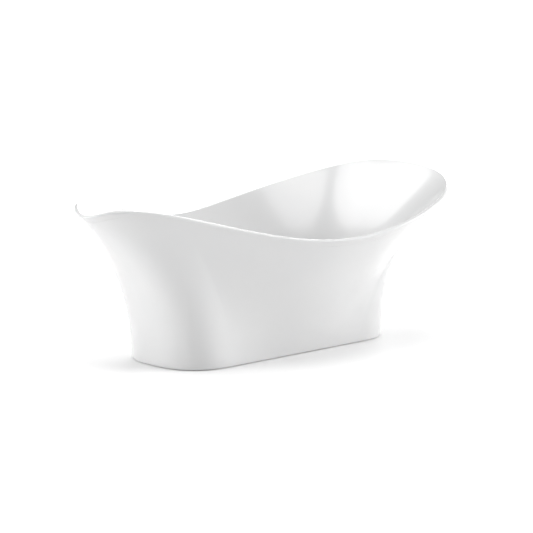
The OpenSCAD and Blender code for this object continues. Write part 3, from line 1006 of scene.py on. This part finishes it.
    @property
    def overflow_place(self) -> Matrix:
        """Turns +Z into the bath and +X down the wall, at the overflow."""
        p = self.overflow
        run = self.wall(p.z + 1e-3, 180) - self.wall(p.z - 1e-3, 180)
        turn = Matrix.Rotation(math.atan2(run.z, -run.x), 4, "Y")
        return Matrix.Translation(p) @ turn


# ---- Shells ------------------------------------------------------------------


@dataclass
class Shells:
    """The basin and the skirt, as smooth skins."""

    curves: BathCurves
    basin_t: float = 0.006
    skirt_t: float = 0.005
    skirt_clear: float = 0.003
    return_w: float = 0.015
    bond_gap: float = 0.0003
    glue_bevel: float = 0.003
    hole_r: float = 0.026
    boss_t: float = 0.003
    seat_r: float = 0.034
    overflow_r: float = 0.018
    angle_step: float = 1.25
    fine_step: float = 0.25
    fine_span: float = 7.5
    fillet_steps: int = 14
    wall_steps: int = 44
    roll_steps: int = 12
    skirt_steps: int = 44
    floor_shares: tuple[float, ...] = (0.15, 0.4, 0.7)
    pad_gap: float = 0.001
    pad_reach: float = 0.020
    hole_reach: float = 0.010
    foot_edge: float = 0.0012
    foot_round: float = 0.3

    def angles(self) -> list[float]:
        """Angles round the bath, closer together at the overflow."""
        spots: list[float] = []
        a = 0.0
        while a < 360 - 1e-6:
            spots.append(a)
            near = abs(a - 180) < self.fine_span - 1e-6 or a == 180 - self.fine_span
            a += self.fine_step if near else self.angle_step
        return spots

    def front(self) -> list[Ring]:
        """Curves up the bathing face, from the floor to the rim's shoulder."""
        c = self.curves
        rings: list[Ring] = [
            lambda a, k=k: c.fillet(90 * k / self.fillet_steps, a)
            for k in range(self.fillet_steps + 1)
        ]
        start = c.floor_z + c.well_fillet
        for k in range(1, self.wall_steps + 1):
            share = k / self.wall_steps
            rings.append(
                lambda a, s=share: c.wall(
                    start + (c.inner_edge(a).z - c.lip_h - start) * s, a
                )
            )
        return rings

    def behind(self, rings: Sequence[Ring], k: int) -> Ring:
        """Curve one wall thickness behind a curve of the bathing face.

        Args:
            rings: The bathing face's curves.
            k: Which of them.

        Returns:
            The curve on the back.
        """

        def back(a: float) -> Vector:
            """A point of that curve."""
            along = rings[k](a + 0.5) - rings[k](a - 0.5)
            above = rings[min(k + 1, len(rings) - 1)](a)
            up = above - rings[max(k - 1, 0)](a)
            out = Vector((0, 0, -1)) if k == 0 else along.cross(up).normalized()
            return rings[k](a) + self.basin_t * out

        return back

    def basin(self) -> None:
        """Makes the inner shell, from the waste hole over the rim and back."""
        c = self.curves
        waste = c.waste

        def mouth(a: float, drop: float) -> Vector:
            """A point of the waste hole's edge, below the bathing face."""
            r = math.radians(a)
            ring = Vector((math.cos(r), math.sin(r), 0)) * self.hole_r
            return waste + ring - Vector((0, 0, drop))

        def across(share: float, drop: float) -> Ring:
            """A curve part of the way from the hole to the fillet."""
            return lambda a: mouth(a, drop).lerp(
                c.fillet(0, a) - Vector((0, 0, drop)), share
            )

        front = self.front()
        loft = Loft(self.angles(), lambda a: mouth(a, 0))
        loft.through(*[across(s, 0) for s in self.floor_shares], *front)
        for k in range(self.roll_steps + 1):
            phi = 180 * (1 - k / self.roll_steps)
            loft.through(lambda a, phi=phi: c.roll(phi, a))
        loft.through(lambda a: c.outer(c.rim_h(a) - c.lip_h / 2, a))
        loft.through(lambda a: c.outer(c.rim_h(a) - c.lip_h, a))
        for k in range(len(front) - 1, -1, -1):
            loft.through(self.behind(front, k), face=1)
        loft.through(
            across(0.5, self.basin_t),
            lambda a: mouth(a, self.basin_t),
            lambda a: mouth(a, 0),
            face=1,
        )
        place = c.overflow_place
        low = -self.basin_t - self.boss_t
        mesh = Workshop.carved(
            Workshop.settled(loft.mesh),
            (Carve.JOIN, self.disc(self.seat_r, low, self.boss_t, place)),
            (Carve.CUT, self.disc(self.seat_r + self.pad_gap, 0, self.pad_reach, place)),
            (Carve.CUT, self.disc(self.overflow_r, 3 * low, self.hole_reach, place)),
        )
        Workshop.piece(mesh, "acrylic_basin", "tub", ACRYLIC, ("basin",), back=BACKING)

    @staticmethod
    def disc(r: float, low: float, high: float, place: Matrix) -> BMesh:
        """A plain disc to carve with."""
        outline = [(0, low), (r, low), (r, high), (0, high)]
        return Solid().turned(outline, place, soft=0, steps=96).done()

    def skirt(self) -> None:
        """Makes the outer shell, with its turned-in foot."""
        c = self.curves

        def height(k: int, a: float) -> float:
            """Height of a row of the skirt."""
            top = c.rim_h(a) - c.lip_h - self.bond_gap
            return self.skirt_clear + (top - self.skirt_clear) * k / self.skirt_steps

        def inner(k: int) -> Ring:
            """A row of the skirt's inner face."""
            return lambda a: c.outer(height(k, a), a) - self.skirt_t * c.outer_normal(
                height(k, a), a
            )

        def foot(z: float, inset: float) -> Ring:
            """A curve set in from the outer face, near the floor."""

            def at(a: float) -> Vector:
                """A point of that curve."""
                n = c.outer_normal(z, a).to_2d().normalized()
                return c.outer(z, a) - inset * n.to_3d()

            return at

        low = self.skirt_clear
        edge = self.foot_edge
        width = self.skirt_t + self.return_w
        loft = Loft(self.angles(), lambda a: c.outer(height(1, a), a))
        loft.through(
            *[
                lambda a, k=k: c.outer(height(k, a), a)
                for k in range(2, self.skirt_steps + 1)
            ],
            self.glued(inner(self.skirt_steps)),
        )
        loft.through(
            *[inner(k) for k in range(self.skirt_steps - 1, 0, -1)],
            foot(low + self.skirt_t, self.skirt_t),
            foot(low + self.skirt_t, width),
            face=1,
        )
        loft.through(
            foot(low, width),
            foot(low, edge),
            foot(low + edge * self.foot_round, edge * self.foot_round),
            foot(low + edge, 0),
            lambda a: c.outer(height(1, a), a),
        )
        mesh = Workshop.settled(loft.mesh)
        Workshop.piece(mesh, "acrylic_skirt", "tub", ACRYLIC, ("skirt",), back=BACKING)

    def glued(self, top: Ring) -> Ring:
        """Lowers the skirt's inner upper edge, to leave room for adhesive."""
        return lambda a: top(a) - Vector((0, 0, self.glue_bevel))

    def build(self) -> None:
        """Makes both shells."""
        self.basin()
        self.skirt()


# ---- Fittings ----------------------------------------------------------------


@dataclass
class Waste:
    """The waste in the bathing floor, with its press-to-open plug."""

    place: Matrix
    flange_r: float = 0.038
    tail_r: float = 0.0245
    throat_r: float = 0.019
    seat_r: float = 0.024
    flange_top: float = 0.004
    seat_z: float = 0.0012
    tail_end: float = -0.040
    hub_r: float = 0.008
    hub_low: float = -0.033
    hub_top: float = -0.018
    stem_bore: float = 0.00405
    stem_r: float = 0.004
    edge_slope: float = 0.004
    edge_top: float = 0.002
    seal_t: float = 0.001
    arm_half: float = 0.0015
    arm_low: float = -0.030
    arm_top: float = -0.022
    arm_bite: float = 0.8
    plug_r: float = 0.031
    cap_low: float = 0.0043
    cap_edge: float = 0.001
    cap_side: float = 0.0025
    crown_inset: float = 0.008
    crown_edge: float = 0.004
    crown_top: float = 0.005
    stem_end: float = -0.0453
    collar_r: float = 0.006
    collar_h: float = 0.002
    plug_seal_out: float = 0.0235
    plug_seal_in: float = 0.017
    plug_seal_low: float = 0.0015
    nut_r: float = 0.0286
    nut_bore: float = 0.0233
    nut_mouth: float = 0.0191
    nut_top: float = -0.070
    nut_low: float = -0.082
    nut_shelf: float = -0.0795
    flutes: int = 12
    flute_depth: float = 0.0018
    flute_from: float = 0.0262

    def flange(self) -> None:
        """Makes the flange, with the spider that guides the plug's stem."""
        solid = Solid().turned(
            [
                (self.seat_r, self.flange_top),
                (self.flange_r - self.edge_slope, self.flange_top),
                (self.flange_r, self.edge_top),
                (self.flange_r, self.seal_t),
                (self.tail_r, self.seal_t),
                (self.tail_r, self.tail_end),
                (self.throat_r, self.tail_end),
                (self.throat_r, self.seat_z),
                (self.seat_r, self.seat_z),
            ],
            self.place,
        )
        hub = [(self.hub_r, self.hub_low), (self.hub_r, self.hub_top)]
        bore = [(self.stem_bore, self.hub_top), (self.stem_bore, self.hub_low)]
        solid.turned(hub + bore, self.place)
        reach = (self.throat_r + self.tail_r) / 2
        for turn in (45, 135, 225, 315):
            arm = self.place @ Matrix.Rotation(math.radians(turn), 4, "Z")
            low = (self.hub_r * self.arm_bite, -self.arm_half, self.arm_low)
            solid.box(low, (reach, self.arm_half, self.arm_top), arm)
        Workshop.piece(solid.done(), "waste_flange", "tub", CHROME, ("waste_flange",))

    def plug(self) -> None:
        """Makes the plug's cap, stem and seal."""
        low, r, edge = self.cap_low, self.plug_r, self.cap_edge
        cap = [(0, low), (r - edge, low), (r, low + edge)]
        cap += [(r - edge, low + self.cap_side)]
        cap += [(r - self.crown_inset, low + self.crown_edge)]
        cap += [(0, low + self.crown_top)]
        solid = Solid().turned(cap, self.place, soft=0.0012, steps=96)
        Workshop.piece(solid.done(), "plug_cap", "plug", CHROME, ("plug_cap",), 50)
        end, collar = self.stem_end, self.stem_end + self.collar_h
        stem = [(0, end), (self.collar_r, end), (self.collar_r, collar)]
        stem += [(self.stem_r, collar), (self.stem_r, low), (0, low)]
        solid = Solid().turned(stem, self.place, soft=0.0003)
        Workshop.piece(solid.done(), "plug_stem", "plug", CHROME, ("plug_stem",))
        seal = [(self.plug_seal_out, self.plug_seal_low), (self.plug_seal_out, low)]
        seal += [(self.plug_seal_in, low), (self.plug_seal_in, self.plug_seal_low)]
        solid = Solid().turned(seal, self.place, soft=0.0008)
        Workshop.piece(solid.done(), "plug_seal", "plug", RUBBER, ("plug_seal",))

    def outlet(self) -> None:
        """Makes the grip nut on the outlet, with its flutes."""
        nut = [(self.nut_r, self.nut_low), (self.nut_r, self.nut_top)]
        nut += [(self.nut_bore, self.nut_top), (self.nut_bore, self.nut_shelf)]
        nut += [(self.nut_mouth, self.nut_shelf), (self.nut_mouth, self.nut_low)]
        solid = Solid().turned(nut, self.place, soft=0.0008, steps=144)
        solid.fluted(self.flutes, self.flute_depth, self.flute_from, self.place)
        Workshop.piece(solid.done(), "outlet_nut", "tub", PLASTIC, ("outlet_nut",))

    def build(self) -> None:
        """Makes the waste."""
        self.flange()
        self.plug()
        self.outlet()


@dataclass
class Overflow:
    """The overflow's cover and screw, and the ribbed hose to the waste."""

    place: Matrix
    waste: Vector
    cover_r: float = 0.032
    cover_h: float = 0.010
    plate_t: float = 0.0025
    gap: float = 0.0003
    wall: float = 0.0025
    hose_in_r: float = 0.0115
    hose_r: float = 0.0141
    rib_pitch: float = 0.005
    rib_depth: float = 0.0014
    grip: float = 0.020
    screw_hole_r: float = 0.0027
    post_r: float = 0.006
    bite: float = 0.0005
    slot_start: float = 0.007
    slot_end: float = 0.040
    slot_half: float = 0.024
    slot_low: float = -0.001
    head_r: float = 0.005
    head_face_r: float = 0.0036
    head_side: float = 0.001
    head_h: float = 0.002
    screw_r: float = 0.0024
    screw_depth: float = 0.0003
    screw_pitch: float = 0.0008
    screw_end: float = -0.0325
    screw_bite: float = 0.0002
    recess_half_l: float = 0.0025
    recess_half_w: float = 0.0006
    recess_low: float = 0.0009
    recess_top: float = 0.003
    elbow_end: Point = (0.056, 0, -0.0245)
    inlet_end: Point = (-0.0567, 0, -0.051)
    pull_top: float = 0.110
    pull_low: float = 0.170
    hose_rows: int = 320

    def cover(self) -> None:
        """Makes the round cover, open at its lower side, and its screw."""
        top, joint = self.cover_h + self.plate_t, self.cover_h + self.bite
        hole, gap = self.screw_hole_r, self.gap
        plate = [(hole, self.cover_h), (self.cover_r, self.cover_h)]
        plate += [(self.cover_r, top), (hole, top)]
        solid = Solid().turned(plate, self.place, soft=0.0009, steps=96)
        post = [(self.post_r, gap), (self.post_r, joint), (hole, joint), (hole, gap)]
        solid.turned(post, self.place)
        inner = self.cover_r - self.wall
        rim = [(self.cover_r, gap), (self.cover_r, joint), (inner, joint), (inner, gap)]
        skirt = Solid().turned(rim, self.place, soft=0.0003, steps=96)
        low = (self.slot_start, -self.slot_half, self.slot_low)
        high = (self.slot_end, self.slot_half, self.cover_h)
        slot = Solid().box(low, high, self.place, 1e-4)
        carved = Workshop.carved(skirt.done(), (Carve.CUT, slot.done()))
        solid.add(carved)
        Workshop.piece(
            solid.done(), "overflow_cover", "tub", CHROME, ("overflow_cover",)
        )
        side, face = top + self.head_side, top + self.head_h
        head = [(0, top), (self.head_r, top), (self.head_r, side)]
        head += [(self.head_face_r, face), (0, face)]
        screw = Solid().turned(head, self.place, soft=0.0004)
        screw.thread(
            self.screw_r,
            self.screw_depth,
            self.screw_pitch,
            self.screw_end,
            top + self.screw_bite,
            self.place,
        )
        low = (-self.recess_half_l, -self.recess_half_w, top + self.recess_low)
        high = (self.recess_half_l, self.recess_half_w, top + self.recess_top)
        recess = Solid().box(low, high, self.place)
        mesh = Workshop.carved(screw.done(), (Carve.CUT, recess.done()))
        Workshop.piece(mesh, "overflow_screw", "tub", CHROME, ("overflow_screw",))

    def hose(self) -> None:
        """Sweeps the ribbed hose along its curve, with a plain grip at each end."""
        start = self.place @ Vector(self.elbow_end)
        down = self.place.to_3x3() @ Vector((1, 0, 0))
        end = self.waste + Vector(self.inlet_end)
        bend = start + self.pull_top * down
        knots = [start, bend, end - Vector((self.pull_low, 0, 0)), end]
        count = self.hose_rows

        def spot(t: float) -> Vector:
            """A point of the hose's middle."""
            u = 1 - t
            weights = (u**3, 3 * t * u * u, 3 * t * t * u, t**3)
            return sum((k * w for k, w in zip(knots, weights)), Vector())

        middle = [spot(k / count) for k in range(count + 1)]
        route = [start - self.grip * down, *middle, end + Vector((self.grip, 0, 0))]
        runs = [0.0]
        for a, b in zip(route, route[1:]):
            runs.append(runs[-1] + (b - a).length)

        def ring(k: int, r: float) -> Ring:
            """A section of the hose."""
            way = route[min(k + 1, len(route) - 1)] - route[max(k - 1, 0)]
            side = Vector((0, 1, 0))
            over = side.cross(way.normalized())

            def at(a: float) -> Vector:
                """A point of that section."""
                turn = math.radians(a)
                return route[k] + r * (math.cos(turn) * side + math.sin(turn) * over)

            return at

        def rib(k: int) -> float:
            """Outside radius of the hose at a row."""
            inside = min(runs[k], runs[-1] - runs[k]) - self.grip
            if inside < self.rib_pitch:
                return self.hose_r
            wave = 0.5 - 0.5 * math.cos(math.tau * runs[k] / self.rib_pitch)
            return self.hose_r - self.rib_depth * wave

        rows = range(len(route))
        loft = Loft(range(0, 360, 15), ring(0, self.hose_in_r))
        loft.through(*[ring(k, rib(k)) for k in rows])
        loft.through(*[ring(k, self.hose_in_r) for k in reversed(rows)])
        mesh = Workshop.settled(loft.mesh)
        Workshop.piece(mesh, "overflow_hose", "tub", PLASTIC, ("overflow_hose",), 60)

    def build(self) -> None:
        """Makes the overflow."""
        self.cover()
        self.hose()


@dataclass
class Feet:
    """The four levelling feet, their nuts and their threaded studs."""

    xs: tuple[float, float] = (-0.1513, 0.3090)
    half_gap: float = 0.128
    stud_r: float = 0.006
    stud_low: float = 0.0033
    stud_top: float = 0.0747
    pitch: float = 0.00175
    pad_r: float = 0.024
    pad_h: float = 0.012
    bore: float = 0.00605
    nut_r: float = 0.01098
    nut_top: float = 0.0377
    nut_h: float = 0.010
    seat_gap: float = 0.0003
    neck_wall: float = 0.007
    pad_edge: float = 0.001
    pad_side: float = 0.004
    flutes: int = 24
    flute_depth: float = 0.0008
    flute_from: float = 0.021
    thread_depth: float = 0.0009

    def places(self) -> list[Matrix]:
        """Where the feet stand, in the CAD's order."""
        return [
            Matrix.Translation((x, side * self.half_gap, 0))
            for x in self.xs
            for side in (-1, 1)
        ]

    def pad(self, number: int, place: Matrix) -> None:
        """Makes a fluted rubber pad."""
        low, neck = self.stud_low - self.seat_gap, self.stud_r + self.neck_wall
        r, edge = self.pad_r, self.pad_edge
        outline = [(0, 0), (r - edge, 0), (r, edge), (r, self.pad_side)]
        outline += [(neck, self.pad_h - edge), (neck - edge, self.pad_h)]
        outline += [(self.bore, self.pad_h), (self.bore, low), (0, low)]
        solid = Solid().turned(outline, place, soft=0.0005, steps=144)
        solid.fluted(self.flutes, self.flute_depth, self.flute_from, place)
        name = f"foot_pad_{number}"
        Workshop.piece(solid.done(), name, name, RUBBER, (name,))

    def stud(self, number: int, place: Matrix) -> None:
        """Makes a threaded stud."""
        solid = Solid().thread(
            self.stud_r,
            self.thread_depth,
            self.pitch,
            self.stud_low,
            self.stud_top,
            place,
        )
        name = f"foot_stud_{number}"
        Workshop.piece(solid.done(), name, name, ZINC, (name,), 60)

    def nuts(self) -> None:
        """Makes the welded nuts and the lock nuts below them."""
        middle = self.nut_top - self.nut_h
        for name, low, high, finish in (
            ("weld_nuts", middle, self.nut_top, GALVANISED),
            ("lock_nuts", middle - self.nut_h, middle, ZINC),
        ):
            solid = Solid()
            for place in self.places():
                solid.nut(self.bore, self.nut_r, low, high, place)
            Workshop.piece(solid.done(), name, "tub", finish, (name,), 20)

    def build(self) -> None:
        """Makes the feet."""
        for number, place in enumerate(self.places(), 1):
            self.pad(number, place)
            self.stud(number, place)
        self.nuts()


# ---- Studio ------------------------------------------------------------------


@dataclass(frozen=True)
class SoftLight:
    """A distant lamp whose light comes from a wide patch of the sky."""

    name: str
    azimuth: float
    elevation: float
    strength: float
    spread: float = 35.0
    distance: float = 6.0

    def build(self) -> None:
        """Hangs the light."""
        data = bpy.data.lights.new(self.name, "SUN")
        data.energy = self.strength
        data.angle = math.radians(self.spread)
        way = direction(self.azimuth, self.elevation)
        aimed(self.name, data, way * self.distance, way)


@dataclass
class Studio:
    """Camera, floor and soft light."""

    target: Point = (0.541, 0.502, 0.179)
    azimuth: float = -42.93
    elevation: float = 10.27
    distance: float = 11.647
    lens: float = 193.16
    sensor: float = 36.0
    sight: float = 200.0
    floor_size: float = 60.0
    paper: Colour = (0.95, 0.95, 0.95)
    paper_light: Colour = (0.97, 0.97, 0.97)
    world: float = 0.14
    lights: tuple[SoftLight, ...] = (
        SoftLight("end_light", -120, 12, 1.8),
        SoftLight("far_light", 60, 12, 1.5),
        SoftLight("back_light", 123, 13, 1.5),
        SoftLight("side_light", 35, 38, 1.25),
        SoftLight("rear_light", -155, 50, 1.05),
        SoftLight("top_light", 0, 88, 1.0),
    )

    def camera(self) -> None:
        """Places the camera and makes it the scene's."""
        data = bpy.data.cameras.new("view")
        data.lens = self.lens
        data.sensor_width = self.sensor
        data.clip_end = self.sight
        way = direction(self.azimuth, self.elevation)
        spot = Vector(self.target) + way * self.distance
        bpy.context.scene.camera = aimed("view", data, spot, way)

    def floor(self) -> None:
        """Lays the pale floor."""
        mesh = bmesh.new()
        bmesh.ops.create_grid(mesh, x_segments=1, y_segments=1, size=self.floor_size)
        data = bpy.data.meshes.new("studio_floor")
        mesh.to_mesh(data)
        mesh.free()
        graph = NodeGraph("studio_paper")
        colour = graph.blend(graph.noise(0.8), self.paper, self.paper_light)
        graph.feed(Base_Color=colour)
        graph.plain(Roughness=0.8, Specular_IOR_Level=0.2)
        data.materials.append(graph.material)
        item = bpy.data.objects.new("studio_floor", data)
        bpy.context.scene.collection.objects.link(item)

    def light(self) -> None:
        """Hangs the lamps and sets the room's own light."""
        world = bpy.data.worlds.new("studio_room")
        world.use_nodes = True
        back = world.node_tree.nodes["Background"]
        back.inputs["Color"].default_value = (1, 1, 1, 1)
        back.inputs["Strength"].default_value = self.world
        bpy.context.scene.world = world
        for lamp in self.lights:
            lamp.build()

    def build(self) -> None:
        """Sets up the whole studio."""
        bpy.context.scene.view_settings.view_transform = "Standard"
        self.floor()
        self.light()


def main() -> None:
    """Builds the studio and every piece, in order."""
    logging.basicConfig(level=logging.INFO, format="%(name)s: %(message)s")
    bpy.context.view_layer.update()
    studio = Studio()
    studio.camera()
    curves = BathCurves()
    Shells(curves).build()
    Waste(Matrix.Translation(curves.waste)).build()
    Overflow(curves.overflow_place, curves.waste).build()
    Feet().build()
    slots = {s["node"]: s["material_slot"] for s in frame["record"]["subparts"]}
    finishes = {
        f.slot: f for f in (ACRYLIC, CHROME, GALVANISED, ZINC, RUBBER, PLASTIC, TIMBER)
    }
    for node, slot in slots.items():
        if node not in MADE_HERE:
            Workshop.dress(node, finishes[slot])
    studio.build()


if __name__ == "__main__":
    main()
